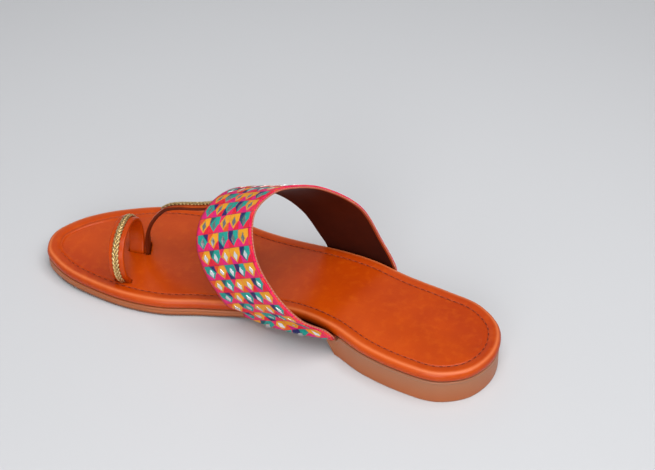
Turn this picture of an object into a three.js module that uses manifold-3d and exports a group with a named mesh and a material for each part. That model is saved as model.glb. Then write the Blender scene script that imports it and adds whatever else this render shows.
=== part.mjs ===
// Toe-loop sandal of the kolhapuri kind, for the right foot, standing empty on its sole.
// Millimetres. +Y runs from heel to toe, +X to the little toe's side, +Z up from the floor.
import * as THREE from 'three';
import { mergeVertices } from 'three/addons/utils/BufferGeometryUtils.js';
import Module from 'manifold-3d';

const wasm = await Module();
wasm.setup();

// Driving dimensions
const soleLength = 252.5;      // heel to toe along the footbed
const ballWidth = 81;          // footbed across the ball of the foot
const heelWidth = 61;          // footbed across the heel
const heelHeight = 13.5;       // outsole under the heel
const foreHeight = 5;          // outsole under the ball
const waistThickness = 4.6;    // outsole where it is arched off the floor
const toeSpring = 3;           // rise of the sole at the toe
const outsoleInset = 0.2;      // outsole set in from the footbed's rim
const footbedThickness = 5.5;  // padded footbed with its rolled rim
const rimWidth = 6.4;          // rolled rim, out to the stitched groove
const grooveDepth = 0.9;       // stitched groove below the rim's top
const instepHeight = 78.6;     // highest point of the instep band above the floor
const bandWall = 2.2;          // instep band: leather, padding and embroidered cloth
const tabLength = 12;          // end of the band glued under the footbed
const footBow = 7;             // the band's medial end bows out past the narrow waist
const strapWidth = 9.5;        // toe strap
const loopStrapWidth = 8.3;    // strap of the toe loop
const strapWall = 2;
const loopWidth = 33;          // toe loop at its widest
const loopHeight = 26;         // toe loop above the footbed
const braidWidth = 3.6;        // gilt braid on the straps
const braidHeight = 1.1;
const strapSeat = 2.4;         // depth of the strap ends in the outsole
const treadPitch = 5;          // cross ribs under the sole
const treadWidth = 1.8;
const treadDepth = 0.9;
const joinGap = 0.3;           // between pieces that meet

// Footbed outline: along is a share of soleLength, medial and lateral of the local width
const outlineRows = [
  { along: 0, medial: 0.016, lateral: 0.016 },
  { along: 0.01, medial: -0.18, lateral: 0.23 },
  { along: 0.032, medial: -0.325, lateral: 0.361 },
  { along: 0.081, medial: -0.454, lateral: 0.484 },
  { along: 0.15, medial: -0.475, lateral: 0.521 },
  { along: 0.238, medial: -0.426, lateral: 0.546 },
  { along: 0.317, medial: -0.3, lateral: 0.568 },
  { along: 0.416, medial: -0.21, lateral: 0.549 },
  { along: 0.507, medial: -0.225, lateral: 0.523 },
  { along: 0.602, medial: -0.311, lateral: 0.519 },
  { along: 0.681, medial: -0.417, lateral: 0.535 },
  { along: 0.76, medial: -0.465, lateral: 0.525 },
  { along: 0.84, medial: -0.468, lateral: 0.432 },
  { along: 0.903, medial: -0.448, lateral: 0.296 },
  { along: 0.95, medial: -0.398, lateral: 0.154 },
  { along: 0.982, medial: -0.331, lateral: 0.006 },
  { along: 1, medial: -0.179, lateral: -0.179 },
];

// Instep band, outer face, front and back edge: shares of ballWidth, soleLength, instepHeight
const bandRows = [
  { frontX: -0.309, frontY: 0.541, frontZ: 0.176, backX: -0.302, backY: 0.321, backZ: 0.227 },
  { frontX: -0.343, frontY: 0.566, frontZ: 0.34, backX: -0.401, backY: 0.36, backZ: 0.356 },
  { frontX: -0.346, frontY: 0.588, frontZ: 0.497, backX: -0.42, backY: 0.416, backZ: 0.547 },
  { frontX: -0.302, frontY: 0.606, frontZ: 0.673, backX: -0.383, backY: 0.461, backZ: 0.776 },
  { frontX: -0.173, frontY: 0.61, frontZ: 0.791, backX: -0.235, backY: 0.486, backZ: 0.967 },
  { frontX: 0.025, frontY: 0.595, frontZ: 0.834, backX: -0.012, backY: 0.479, backZ: 0.992 },
  { frontX: 0.222, frontY: 0.562, frontZ: 0.771, backX: 0.198, backY: 0.451, backZ: 0.918 },
  { frontX: 0.364, frontY: 0.527, frontZ: 0.647, backX: 0.37, backY: 0.418, backZ: 0.797 },
  { frontX: 0.469, frontY: 0.493, frontZ: 0.471, backX: 0.491, backY: 0.362, backZ: 0.621 },
  { frontX: 0.509, frontY: 0.463, frontZ: 0.294, backX: 0.512, backY: 0.317, backZ: 0.379 },
];
// Where the band's edges reach the sole, as shares of soleLength
const bandFoot = { frontMedial: 0.517, backMedial: 0.309, frontLateral: 0.442, backLateral: 0.275 };

// Toe loop from its medial slot over the toe to its inner slot: shares of loopWidth and loopHeight
const loopRows = [
  { across: -0.37, rise: 0 },
  { across: -0.465, rise: 0.22 },
  { across: -0.5, rise: 0.48 },
  { across: -0.435, rise: 0.76 },
  { across: -0.26, rise: 0.94 },
  { across: 0, rise: 1 },
  { across: 0.26, rise: 0.94 },
  { across: 0.435, rise: 0.76 },
  { across: 0.5, rise: 0.48 },
  { across: 0.465, rise: 0.22 },
  { across: 0.37, rise: 0 },
];
const loopPlace = { across: -0.202, along: 0.798 }; // middle of the loop on the footbed
const loopTurn = 0.275;                             // radians that the loop is turned about Z
const loopLean = 0.08;                              // forward lean per mm of height

// Toe strap from its slot between the toes to its end under the band; yaw and drop turn its width
const toeStrapRows = [
  { across: 0, along: 0.793, rise: 0.146, yaw: 26, drop: 0 },
  { across: 0, along: 0.7925, rise: 0.234, yaw: 24, drop: 2 },
  { across: 0.004, along: 0.785, rise: 0.321, yaw: 20, drop: 6 },
  { across: 0.011, along: 0.772, rise: 0.404, yaw: 14, drop: 12 },
  { across: 0.02, along: 0.752, rise: 0.487, yaw: 8, drop: 18 },
  { across: 0.032, along: 0.734, rise: 0.535, yaw: 4, drop: 21 },
  { across: 0.044, along: 0.705, rise: 0.569, yaw: 1, drop: 21 },
  { across: 0.048, along: 0.665, rise: 0.61, yaw: 0, drop: 18 },
  { across: 0.05, along: 0.63, rise: 0.659, yaw: 0, drop: 12 },
  { across: 0.052, along: 0.6, rise: 0.727, yaw: 0, drop: 7 },
  { across: 0.052, along: 0.572, rise: 0.79, yaw: 0, drop: 5 },
  { across: 0.052, along: 0.545, rise: 0.848, yaw: 0, drop: 6 },
];
const strapBraidStart = 0.42;  // where the braid starts along the toe strap's route
const strapBraidEnd = 0.86;    // where it runs under the band

const heelBreast = { bottom: 0.311, top: 0.336 };      // slanted front of the heel
const waist = { start: 0.3, end: 0.6, flat: 0.64 };    // where the sole drops and meets the floor
const widthBlend = { start: 0.2, end: 0.6 };           // heelWidth blends into ballWidth
const springStart = 0.735;                             // where the toe starts to rise
const stations = 44;                                   // sections of the sole, heel to toe
const edgeCut = 400;                                   // overshoot of cutting blocks past the sole

// Helpers
const mix = (a, b, t) => a + (b - a) * t;
const smooth = (a, b, v) => {
  const t = Math.min(1, Math.max(0, (v - a) / (b - a)));
  return t * t * (3 - 2 * t);
};
const vec = (x, y, z) => new THREE.Vector3(x, y, z);
const curveThrough = (points) => new THREE.CatmullRomCurve3(points, false, 'centripetal');

function toSolid(positions, triangles) {
  const geometry = new THREE.BufferGeometry();
  geometry.setAttribute('position', new THREE.Float32BufferAttribute(positions.flat(), 3));
  geometry.setIndex(triangles.flat());
  const merged = mergeVertices(geometry, 1e-4);
  return new wasm.Manifold(new wasm.Mesh({
    numProp: 3,
    vertProperties: merged.attributes.position.array,
    triVerts: new Uint32Array(merged.index.array),
  }));
}

function toMesh(name, solid, color, roughness, metalness) {
  const made = solid.getMesh();
  const geometry = new THREE.BufferGeometry();
  geometry.setAttribute('position', new THREE.BufferAttribute(made.vertProperties, 3));
  geometry.setIndex(new THREE.BufferAttribute(made.triVerts, 1));
  geometry.computeVertexNormals();
  const material = new THREE.MeshStandardMaterial({ color, roughness, metalness });
  const mesh = new THREE.Mesh(geometry, material);
  mesh.name = name;
  return mesh;
}

// Sole heights at y
const widthAt = (along) => mix(heelWidth, ballWidth, smooth(widthBlend.start, widthBlend.end, along));
const springAt = (y) => toeSpring * Math.max(0, (y / soleLength - springStart) / (1 - springStart)) ** 2;
const seatAt = (y) => mix(heelHeight, foreHeight, smooth(waist.start, waist.end, y / soleLength)) + springAt(y);
const topAt = (y) => seatAt(y) + footbedThickness - grooveDepth / 2;
const archAt = (y) => {
  const thickness = mix(waistThickness, foreHeight, smooth(waist.end - 0.2, waist.flat, y / soleLength));
  return Math.max(0, seatAt(y) - springAt(y) - thickness);
};

// Outline: one ring of medial and lateral points that share their y, heel to toe and back
const sideCurve = (side) => {
  const points = outlineRows.map((row) => vec(row[side] * widthAt(row.along), row.along * soleLength, 0));
  return points;
};
const loopPoints = [...sideCurve('medial'), ...sideCurve('lateral').slice(1, -1).reverse()];
const outlineCurve = new THREE.CatmullRomCurve3(loopPoints, true, 'centripetal');
const outlineSamples = outlineCurve.getPoints(1200);
const toeIndex = outlineSamples.reduce((best, p, i) => (p.y > outlineSamples[best].y ? i : best), 0);
const heelIndex = outlineSamples.reduce((best, p, i) => (p.y < outlineSamples[best].y ? i : best), 0);

function rimX(side, y) {
  const count = outlineSamples.length;
  let best = null;
  for (let i = 0; i < count - 1; i += 1) {
    const onMedial = heelIndex < toeIndex
      ? i >= heelIndex && i < toeIndex
      : i >= heelIndex || i < toeIndex;
    if (onMedial === (side < 0)) {
      const a = outlineSamples[i];
      const b = outlineSamples[i + 1];
      if ((a.y - y) * (b.y - y) <= 0 && a.y !== b.y) best = mix(a.x, b.x, (y - a.y) / (b.y - a.y));
    }
  }
  return best;
}

const heelPole = outlineSamples[heelIndex];
const toePole = outlineSamples[toeIndex];
const stationY = [];
for (let j = 1; j < stations; j += 1) {
  stationY.push(mix(heelPole.y, toePole.y, (1 - Math.cos((Math.PI * j) / stations)) / 2));
}
const ring = [
  heelPole,
  ...stationY.map((y) => vec(rimX(-1, y), y, 0)),
  toePole,
  ...stationY.map((y) => vec(rimX(1, y), y, 0)).reverse(),
];
const ringNormals = ring.map((p, i) => {
  const before = ring[(i + ring.length - 1) % ring.length];
  const after = ring[(i + 1) % ring.length];
  const along = after.clone().sub(before).normalize();
  return vec(-along.y, along.x, 0);
});

// A body from rings of the outline, each set in by inset and lifted to height(y)
function soleBody(rings) {
  const n = ring.length;
  const positions = [];
  for (const level of rings) {
    ring.forEach((p, i) => {
      const q = p.clone().addScaledVector(ringNormals[i], -level.inset);
      positions.push([q.x, q.y, level.height(p.y)]);
    });
  }
  const triangles = [];
  for (let k = 0; k + 1 < rings.length; k += 1) {
    for (let i = 0; i < n; i += 1) {
      const a = k * n + i;
      const b = k * n + ((i + 1) % n);
      triangles.push([a, a + n, b], [b, a + n, b + n]);
    }
  }
  const half = n / 2;
  const cap = (base, up) => {
    for (let j = 0; j < half; j += 1) {
      const m0 = base + j;
      const m1 = base + j + 1;
      const l0 = base + ((n - j) % n);
      const l1 = base + n - j - 1;
      const faces = j === 0 ? [[m0, m1, l1]] : j === half - 1 ? [[m0, m1, l0]] : [[m0, m1, l1], [m0, l1, l0]];
      for (const face of faces) triangles.push(up ? [face[0], face[2], face[1]] : face);
    }
  };
  cap(0, false);
  cap((rings.length - 1) * n, true);
  return toSolid(positions, triangles);
}

// A block across the whole sole with a side profile of y and z pairs
function crossBlock(profile) {
  const drawn = profile.map(([y, z]) => new THREE.Vector2(y, z));
  const shape = THREE.ShapeUtils.area(drawn) > 0 ? drawn : drawn.reverse();
  const n = shape.length;
  const positions = [-edgeCut, edgeCut].flatMap((x) => shape.map((p) => [x, p.x, p.y]));
  const triangles = [];
  for (const [a, b, c] of THREE.ShapeUtils.triangulateShape(shape, [])) {
    const turned = THREE.ShapeUtils.area([shape[a], shape[b], shape[c]]) > 0 ? [a, b, c] : [a, c, b];
    triangles.push([turned[0], turned[2], turned[1]], turned.map((v) => v + n));
  }
  for (let i = 0; i < n; i += 1) {
    const j = (i + 1) % n;
    triangles.push([i, j, j + n], [i, j + n, i + n]);
  }
  return toSolid(positions, triangles);
}

// A sheet between an outer grid of points and the same grid moved in along its normals
function shellBody(outer, wall, grow) {
  const rows = outer.length;
  const columns = outer[0].length;
  const normals = outer.map((row, i) => row.map((p, j) => {
    const s = outer[Math.min(rows - 1, i + 1)][j].clone().sub(outer[Math.max(0, i - 1)][j]);
    const t = row[Math.min(columns - 1, j + 1)].clone().sub(row[Math.max(0, j - 1)]);
    return t.cross(s).normalize();
  }));
  const pick = (i, j, inner) => {
    const shift = inner ? -(wall + grow) : grow;
    const q = outer[i][j].clone().addScaledVector(normals[i][j], shift);
    return [q.x, q.y, q.z];
  };
  const positions = [];
  for (const inner of [false, true]) {
    for (let i = 0; i < rows; i += 1) for (let j = 0; j < columns; j += 1) positions.push(pick(i, j, inner));
  }
  const at = (i, j, inner) => (inner ? rows * columns : 0) + i * columns + j;
  const triangles = [];
  const quad = (a, b, c, d) => triangles.push([a, c, b], [a, d, c]);
  for (let i = 0; i + 1 < rows; i += 1) {
    for (let j = 0; j + 1 < columns; j += 1) {
      quad(at(i, j, 0), at(i + 1, j, 0), at(i + 1, j + 1, 0), at(i, j + 1, 0));
      quad(at(i, j, 1), at(i, j + 1, 1), at(i + 1, j + 1, 1), at(i + 1, j, 1));
    }
    quad(at(i, 0, 1), at(i + 1, 0, 1), at(i + 1, 0, 0), at(i, 0, 0));
    quad(at(i, columns - 1, 0), at(i + 1, columns - 1, 0), at(i + 1, columns - 1, 1), at(i, columns - 1, 1));
  }
  for (let j = 0; j + 1 < columns; j += 1) {
    quad(at(0, j, 0), at(0, j + 1, 0), at(0, j + 1, 1), at(0, j, 1));
    quad(at(rows - 1, j, 1), at(rows - 1, j + 1, 1), at(rows - 1, j + 1, 0), at(rows - 1, j, 0));
  }
  return toSolid(positions, triangles);
}

// Band foot on one side: tab under the footbed, turn round the rim, then up its side
function bandFootPoints(side, y, bow, taper, grow) {
  const x = rimX(side, y);
  const seat = seatAt(y);
  const under = seat - joinGap - bandWall;
  const outside = joinGap + bandWall;
  return [
    vec(x - side * (tabLength + grow), y, under),
    vec(x - side * tabLength * 0.5, y, under),
    vec(x - side * (1.6 - bow * 0.6), y, under),
    vec(x + side * (outside * 0.7 + bow), y, under + bandWall * 0.45),
    vec(x + side * (outside + 0.4 + bow), y, seat + footbedThickness * (0.42 - 0.28 * taper)),
  ];
}

// Points across the arch at a share from the front edge (0) to the back edge (1)
function bandLine(share, grow) {
  const span = (front, back) => mix(front, back, share);
  const arch = bandRows.map((row) => vec(
    span(row.frontX, row.backX) * ballWidth,
    span(row.frontY, row.backY) * soleLength,
    span(row.frontZ, row.backZ) * instepHeight,
  ));
  const medialY = span(bandFoot.frontMedial, bandFoot.backMedial) * soleLength;
  const lateralY = span(bandFoot.frontLateral, bandFoot.backLateral) * soleLength;
  const bow = footBow * Math.sin(Math.PI * share);
  const taper = smooth(0.75, 1, share);   // the back corner tapers off along the rim
  const medial = bandFootPoints(-1, medialY, bow, taper, grow);
  const lateral = bandFootPoints(1, lateralY, 0, 0, grow).reverse();
  return curveThrough([...medial, ...arch, ...lateral]);
}

const bandSplits = 4;    // steps between two rows of the band
const bandColumns = 8;   // steps across the band
function bandGrid(grow) {
  const lines = [...Array(bandColumns + 1).keys()].map((j) => bandLine(j / bandColumns, grow));
  const steps = (lines[0].points.length - 1) * bandSplits;
  const grid = [];
  for (let i = 0; i <= steps; i += 1) {
    const row = lines.map((line) => line.getPoint(i / steps));
    const out = row[0].clone().sub(row[bandColumns]).normalize().multiplyScalar(grow);
    row[0].add(out);
    row[bandColumns].sub(out);
    grid.push(row);
  }
  return grid;
}
const bandBody = (grow) => shellBody(bandGrid(grow), bandWall, grow);

// A flat strap along a route: frames holds centre, width direction and face normal
function strapBody(frames, width, wall, lift, grow) {
  const w = width / 2 + grow;
  const h = wall / 2 + grow;
  const c = Math.min(0.5, wall / 3);
  const section = [[-w, -h + c], [-w + c, -h], [w - c, -h], [w, -h + c], [w, h - c], [w - c, h], [-w + c, h], [-w, h - c]];
  const n = section.length;
  const positions = frames.flatMap((f) => section.map(([a, b]) => {
    const q = f.centre.clone().addScaledVector(f.width, a).addScaledVector(f.normal, b + lift);
    return [q.x, q.y, q.z];
  }));
  const triangles = [];
  for (let k = 0; k + 1 < frames.length; k += 1) {
    for (let i = 0; i < n; i += 1) {
      const a = k * n + i;
      const b = k * n + ((i + 1) % n);
      triangles.push([a, a + n, b], [b, a + n, b + n]);
    }
  }
  const last = (frames.length - 1) * n;
  for (let i = 1; i + 1 < n; i += 1) {
    triangles.push([0, i, i + 1], [last, last + i + 1, last + i]);
  }
  return toSolid(positions, triangles);
}

function strapFrames(points, widths, steps) {
  const route = curveThrough(points);
  const turns = curveThrough(widths);
  const frames = [];
  for (let i = 0; i <= steps; i += 1) {
    const t = i / steps;
    const tangent = route.getTangent(t);
    const width = turns.getPoint(t);
    width.addScaledVector(tangent, -width.dot(tangent)).normalize();
    frames.push({ centre: route.getPoint(t), width, normal: width.clone().cross(tangent).normalize() });
  }
  return frames;
}

// Toe loop
const loopCentre = vec(loopPlace.across * ballWidth, loopPlace.along * soleLength, 0);
const loopFloor = topAt(loopCentre.y);
function loopFrames() {
  const across = vec(Math.cos(loopTurn), Math.sin(loopTurn), 0);
  const facing = vec(Math.sin(loopTurn), -Math.cos(loopTurn), 0);
  const points = loopRows.map((row) => loopCentre.clone()
    .addScaledVector(across, row.across * loopWidth)
    .add(vec(0, row.rise * loopHeight * loopLean, loopFloor + row.rise * loopHeight)));
  const depth = footbedThickness + strapSeat;
  points.unshift(points[0].clone().add(vec(0, 0, -depth)));
  points.push(points[points.length - 1].clone().add(vec(0, 0, -depth)));
  return strapFrames(points, points.map(() => facing.clone()), 44);
}
const loopRoute = loopFrames();

// Toe strap
function toeStrapFrames() {
  const points = toeStrapRows.map((row) => vec(
    row.across * ballWidth,
    row.along * soleLength,
    row.rise * instepHeight,
  ));
  const widths = toeStrapRows.map((row) => {
    const yaw = THREE.MathUtils.degToRad(row.yaw);
    const drop = THREE.MathUtils.degToRad(row.drop);
    return vec(-Math.cos(yaw) * Math.cos(drop), -Math.sin(yaw) * Math.cos(drop), Math.sin(drop));
  });
  const foot = points[0].clone();
  foot.z = seatAt(foot.y) - strapSeat;
  points.unshift(foot);
  widths.unshift(widths[0].clone());
  return strapFrames(points, widths, 40);
}
const toeStrapRoute = toeStrapFrames();

// Upper: instep band and toe strap in one
const bandSolid = bandBody(0);
const toeStrapSolid = strapBody(toeStrapRoute, strapWidth, strapWall, 0, 0);
const upperSolid = bandSolid.add(toeStrapSolid);
const loopSolid = strapBody(loopRoute, loopStrapWidth, strapWall, 0, 0);

// Clearance round the pieces that pass through the sole
const passing = [
  bandBody(joinGap),
  strapBody(toeStrapRoute, strapWidth, strapWall, 0, joinGap),
  strapBody(loopRoute, loopStrapWidth, strapWall, 0, joinGap),
];
const clearOf = (solid) => passing.reduce((left, cut) => left.subtract(cut), solid);
const largest = (solid) => solid.decompose().reduce((a, b) => (a.volume() > b.volume() ? a : b));

// Footbed: rolled rim, stitched groove, padded middle and a slot for each strap
const rimRows = [
  { inset: 2.4, rise: joinGap / 2 },
  { inset: 0.6, rise: 0.8 },
  { inset: 0, rise: 2.3 },
  { inset: 0.5, rise: footbedThickness - 1.4 },
  { inset: 2, rise: footbedThickness - 0.3 },
  { inset: 3.8, rise: footbedThickness },
  { inset: rimWidth - 0.7, rise: footbedThickness - 0.4 },
  { inset: rimWidth, rise: footbedThickness - grooveDepth },
  { inset: rimWidth + 1.6, rise: footbedThickness - grooveDepth / 2 },
];
const footbedSolid = largest(clearOf(soleBody(rimRows.map((row) => ({
  inset: row.inset,
  height: (y) => seatAt(y) + row.rise,
})))));

// Outsole: heel block with its slanted breast, arched waist, flat fore sole and cross ribs
const outsoleRaw = soleBody([
  { inset: outsoleInset + 0.4, height: (y) => springAt(y) },
  { inset: outsoleInset - 0.2, height: (y) => springAt(y) + 0.6 },
  { inset: outsoleInset, height: (y) => seatAt(y) - 1.6 },
  { inset: outsoleInset + 0.5, height: (y) => seatAt(y) - joinGap / 2 },
]);
const archSteps = 12;
const archTop = [];
for (let i = 0; i <= archSteps; i += 1) {
  const y = soleLength * mix(heelBreast.top, waist.flat, i / archSteps);
  archTop.push([y, i === archSteps ? 0 : archAt(y)]);
}
const archProfile = [[heelBreast.bottom * soleLength, -edgeCut], [heelBreast.bottom * soleLength, 0], ...archTop,
  [waist.flat * soleLength, -edgeCut]];
const foreRibs = { start: 0.62, end: 0.93 };
const heelRibs = { start: 0.06, end: 0.28 };
const ribBlocks = [];
for (const zone of [foreRibs, heelRibs]) {
  const count = Math.floor(((zone.end - zone.start) * soleLength) / treadPitch);
  for (let i = 0; i <= count; i += 1) {
    const y = zone.start * soleLength + i * treadPitch;
    const top = springAt(y) + treadDepth;
    ribBlocks.push([[y, -edgeCut], [y + treadWidth, -edgeCut], [y + treadWidth, top], [y, top]]);
  }
}
let outsoleSolid = outsoleRaw.subtract(crossBlock(archProfile));
for (const block of ribBlocks) outsoleSolid = outsoleSolid.subtract(crossBlock(block));
outsoleSolid = largest(clearOf(outsoleSolid));

// Gilt braid: a raised strip on the outer face of the loop and of the toe strap
const braidLift = strapWall / 2 + joinGap + braidHeight / 2;
const loopAbove = loopRoute.filter((f) => f.centre.z > loopFloor + joinGap * 2);
const loopBraidSolid = strapBody(loopAbove, braidWidth, braidHeight, braidLift, 0);
const strapShare = (f) => toeStrapRoute.indexOf(f) / (toeStrapRoute.length - 1);
const strapTop = toeStrapRoute.filter((f) => strapShare(f) >= strapBraidStart && strapShare(f) <= strapBraidEnd);
const strapBraidSolid = strapBody(strapTop, braidWidth, braidHeight, braidLift, 0);

// The group stands with the middle of its box over the origin
const pieces = [
  toMesh('outsole', outsoleSolid, 0x9c6547, 0.5, 0),
  toMesh('footbed', footbedSolid, 0xb4501c, 0.45, 0),
  toMesh('upper', upperSolid, 0xd8365a, 0.75, 0),
  toMesh('toe_loop', loopSolid, 0xb4501c, 0.45, 0),
  toMesh('toe_loop_braid', loopBraidSolid, 0xc8a85c, 0.35, 0.8),
  toMesh('toe_strap_braid', strapBraidSolid, 0xc8a85c, 0.35, 0.8),
];
const group = new THREE.Group();
for (const piece of pieces) group.add(piece);
const box = new THREE.Box3().setFromObject(group);
group.position.set(-(box.min.x + box.max.x) / 2, -(box.min.y + box.max.y) / 2, -box.min.z);

export default group;
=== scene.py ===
import math

import bmesh
import bpy
import numpy as np
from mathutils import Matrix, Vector
from mathutils.kdtree import KDTree


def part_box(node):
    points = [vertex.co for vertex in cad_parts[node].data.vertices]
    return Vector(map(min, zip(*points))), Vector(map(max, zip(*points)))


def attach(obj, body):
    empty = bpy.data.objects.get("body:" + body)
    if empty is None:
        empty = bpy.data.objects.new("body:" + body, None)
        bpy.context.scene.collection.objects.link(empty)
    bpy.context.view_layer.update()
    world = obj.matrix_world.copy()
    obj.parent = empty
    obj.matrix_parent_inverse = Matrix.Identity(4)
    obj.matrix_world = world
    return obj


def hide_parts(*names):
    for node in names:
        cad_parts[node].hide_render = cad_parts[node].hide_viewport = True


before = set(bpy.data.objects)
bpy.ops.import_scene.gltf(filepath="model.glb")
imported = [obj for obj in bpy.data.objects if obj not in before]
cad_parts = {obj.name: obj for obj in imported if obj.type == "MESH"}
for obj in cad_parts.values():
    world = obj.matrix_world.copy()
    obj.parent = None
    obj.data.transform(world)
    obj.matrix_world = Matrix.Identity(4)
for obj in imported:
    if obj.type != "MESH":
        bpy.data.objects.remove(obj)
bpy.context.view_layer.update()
print("frame loaded")

mm = 0.001   # sizes below are in millimetres, meshes in metres

# The sole's own sizes, shared by every piece that sits on it
sole = {
    "length": 252.5, "ballWidth": 81, "heelWidth": 61,
    "heelHeight": 13.5, "foreHeight": 5, "waistThickness": 4.6, "toeSpring": 3,
    "springStart": 0.735, "waistStart": 0.3, "waistEnd": 0.6, "waistFlat": 0.64, "waistBlend": 0.2,
    "widthStart": 0.2, "widthEnd": 0.6,
    "breastBottom": 0.311, "breastTop": 0.336,
    "gap": 0.3, "instepHeight": 78.6,
}

# Footbed outline: share of the length, medial and lateral shares of the local width
outlineRows = [
    (0, 0.016, 0.016), (0.01, -0.18, 0.23), (0.032, -0.325, 0.361), (0.081, -0.454, 0.484),
    (0.15, -0.475, 0.521), (0.238, -0.426, 0.546), (0.317, -0.3, 0.568), (0.416, -0.21, 0.549),
    (0.507, -0.225, 0.523), (0.602, -0.311, 0.519), (0.681, -0.417, 0.535), (0.76, -0.465, 0.525),
    (0.84, -0.468, 0.432), (0.903, -0.448, 0.296), (0.95, -0.398, 0.154), (0.982, -0.331, 0.006),
    (1, -0.179, -0.179),
]
outlineSteps = 3600


def mix(a, b, t):
    return a + (b - a) * t


def smooth(a, b, v):
    t = np.clip((np.asarray(v, float) - a) / (b - a), 0, 1)
    return t * t * (3 - 2 * t)


def widthAt(along):
    return mix(sole["heelWidth"], sole["ballWidth"], smooth(sole["widthStart"], sole["widthEnd"], along))


def springAt(y):
    rise = (np.asarray(y, float) / sole["length"] - sole["springStart"]) / (1 - sole["springStart"])
    return sole["toeSpring"] * np.maximum(0, rise) ** 2


def seatAt(y):   # where the footbed lies on the outsole
    drop = smooth(sole["waistStart"], sole["waistEnd"], np.asarray(y, float) / sole["length"])
    return mix(sole["heelHeight"], sole["foreHeight"], drop) + springAt(y)


def archAt(y):   # underside of the waist
    along = np.asarray(y, float) / sole["length"]
    flat = smooth(sole["waistEnd"] - sole["waistBlend"], sole["waistFlat"], along)
    thick = mix(sole["waistThickness"], sole["foreHeight"], flat)
    return np.maximum(0, seatAt(y) - springAt(y) - thick)


def smoothPath(points, t, closed=False):   # centripetal Catmull-Rom through the points
    pts = np.asarray(points, float)
    t = np.asarray(t, float)
    n = len(pts)
    if closed:
        place = t * n
        i = np.floor(place).astype(int)
        w = place - i
        p0, p1, p2, p3 = (pts[(i + k) % n] for k in (-1, 0, 1, 2))
    else:
        place = t * (n - 1)
        i = np.minimum(np.floor(place).astype(int), n - 2)
        w = place - i
        ext = np.vstack([2 * pts[0] - pts[1], pts, 2 * pts[-1] - pts[-2]])
        p0, p1, p2, p3 = (ext[i + k] for k in (0, 1, 2, 3))

    def span(a, b):
        return np.maximum(np.sum((b - a) ** 2, axis=1), 1e-16)[:, None] ** 0.25
    d0, d1, d2 = span(p0, p1), span(p1, p2), span(p2, p3)
    d1 = np.where(d1 < 1e-4, 1, d1)
    d0 = np.where(d0 < 1e-4, d1, d0)
    d2 = np.where(d2 < 1e-4, d1, d2)
    m1 = ((p1 - p0) / d0 - (p2 - p0) / (d0 + d1) + (p2 - p1) / d1) * d1
    m2 = ((p2 - p1) / d1 - (p3 - p1) / (d1 + d2) + (p3 - p2) / d2) * d1
    w = w[:, None]
    return p1 + m1 * w + (-3 * p1 + 3 * p2 - 2 * m1 - m2) * w ** 2 + (2 * p1 - 2 * p2 + m1 + m2) * w ** 3


def unit(v):
    return v / np.maximum(np.linalg.norm(v, axis=-1, keepdims=True), 1e-12)


def lengthsAlong(curve):
    return np.concatenate([[0], np.cumsum(np.linalg.norm(np.diff(curve, axis=0), axis=1))])


def pointAt(curve, lengths, at):
    return np.array([np.interp(at, lengths, curve[:, c]) for c in range(3)])


# Outline curve, split into its two sides
outlinePoints = [(m * float(widthAt(a)), a * sole["length"], 0) for a, m, _ in outlineRows]
outlinePoints += [(l * float(widthAt(a)), a * sole["length"], 0) for a, _, l in outlineRows[-2:0:-1]]
outline = smoothPath(outlinePoints, np.linspace(0, 1, outlineSteps, endpoint=False), closed=True)
outline = np.roll(outline, -int(np.argmin(outline[:, 1])), axis=0)
toeIndex = int(np.argmax(outline[:, 1]))
heelPole, toePole = outline[0], outline[toeIndex]
medialSide = outline[:toeIndex + 1]
lateralSide = np.vstack([outline[toeIndex:], outline[:1]])[::-1]


def rimX(side, y):
    part = medialSide if side < 0 else lateralSide
    return np.interp(y, part[:, 1], part[:, 0])


# The CAD frame is this frame moved so that the footbed's box matches
footLow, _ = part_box("footbed")
shift = np.array([footLow[0] / mm - outline[:, 0].min(), footLow[1] / mm - outline[:, 1].min(), 0])


def placed(points):
    return (np.asarray(points, float) + shift) * mm


# Mesh helpers
def addObject(name, data):
    made = bpy.data.objects.new(name, data)
    bpy.context.scene.collection.objects.link(made)
    return made


def makeMesh(name, points, faces, vectors=None):
    mesh = bpy.data.meshes.new(name)
    mesh.from_pydata(placed(points).tolist(), [], [tuple(int(v) for v in f) for f in faces])
    for key, values in (vectors or {}).items():
        layer = mesh.attributes.new(key, "FLOAT_VECTOR", "POINT")
        layer.data.foreach_set("vector", np.asarray(values, float).ravel())
    mesh.polygons.foreach_set("use_smooth", [True] * len(mesh.polygons))
    mesh.update()
    return addObject(name, mesh)


def tubeFaces(rows, n, start=0):   # faces between rings of n points
    faces = []
    for i in range(start, start + (rows - 1) * n, n):
        for j in range(n):
            a, b = i + j, i + (j + 1) % n
            faces.append((a, b, b + n, a + n))
    return faces


def ringBody(name, rings):   # closed body from a list of closed rings
    rows, n = rings.shape[:2]
    last = (rows - 1) * n
    faces = tubeFaces(rows, n) + [tuple(range(n)), tuple(range(last, last + n))[::-1]]
    return makeMesh(name, rings.reshape(-1, 3), faces)


def pointsOf(mesh):   # a mesh's points in millimetres, in the sole's own frame
    spots = np.empty(len(mesh.vertices) * 3)
    mesh.vertices.foreach_get("co", spots)
    return spots.reshape(-1, 3) / mm - shift


def storeShade(mesh, key, values):
    mesh.attributes.new(key, "FLOAT", "POINT").data.foreach_set("value", values)


def finishMesh(piece, merge=0.0):   # faces outward, checked by the body's volume
    work = bmesh.new()
    work.from_mesh(piece.data)
    if merge:
        bmesh.ops.remove_doubles(work, verts=work.verts, dist=merge)
        bmesh.ops.dissolve_degenerate(work, edges=work.edges, dist=merge)
    bmesh.ops.recalc_face_normals(work, faces=work.faces)
    if work.calc_volume(signed=True) < 0:
        bmesh.ops.reverse_faces(work, faces=work.faces)
    work.to_mesh(piece.data)
    work.free()
    piece.data.update()


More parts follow.
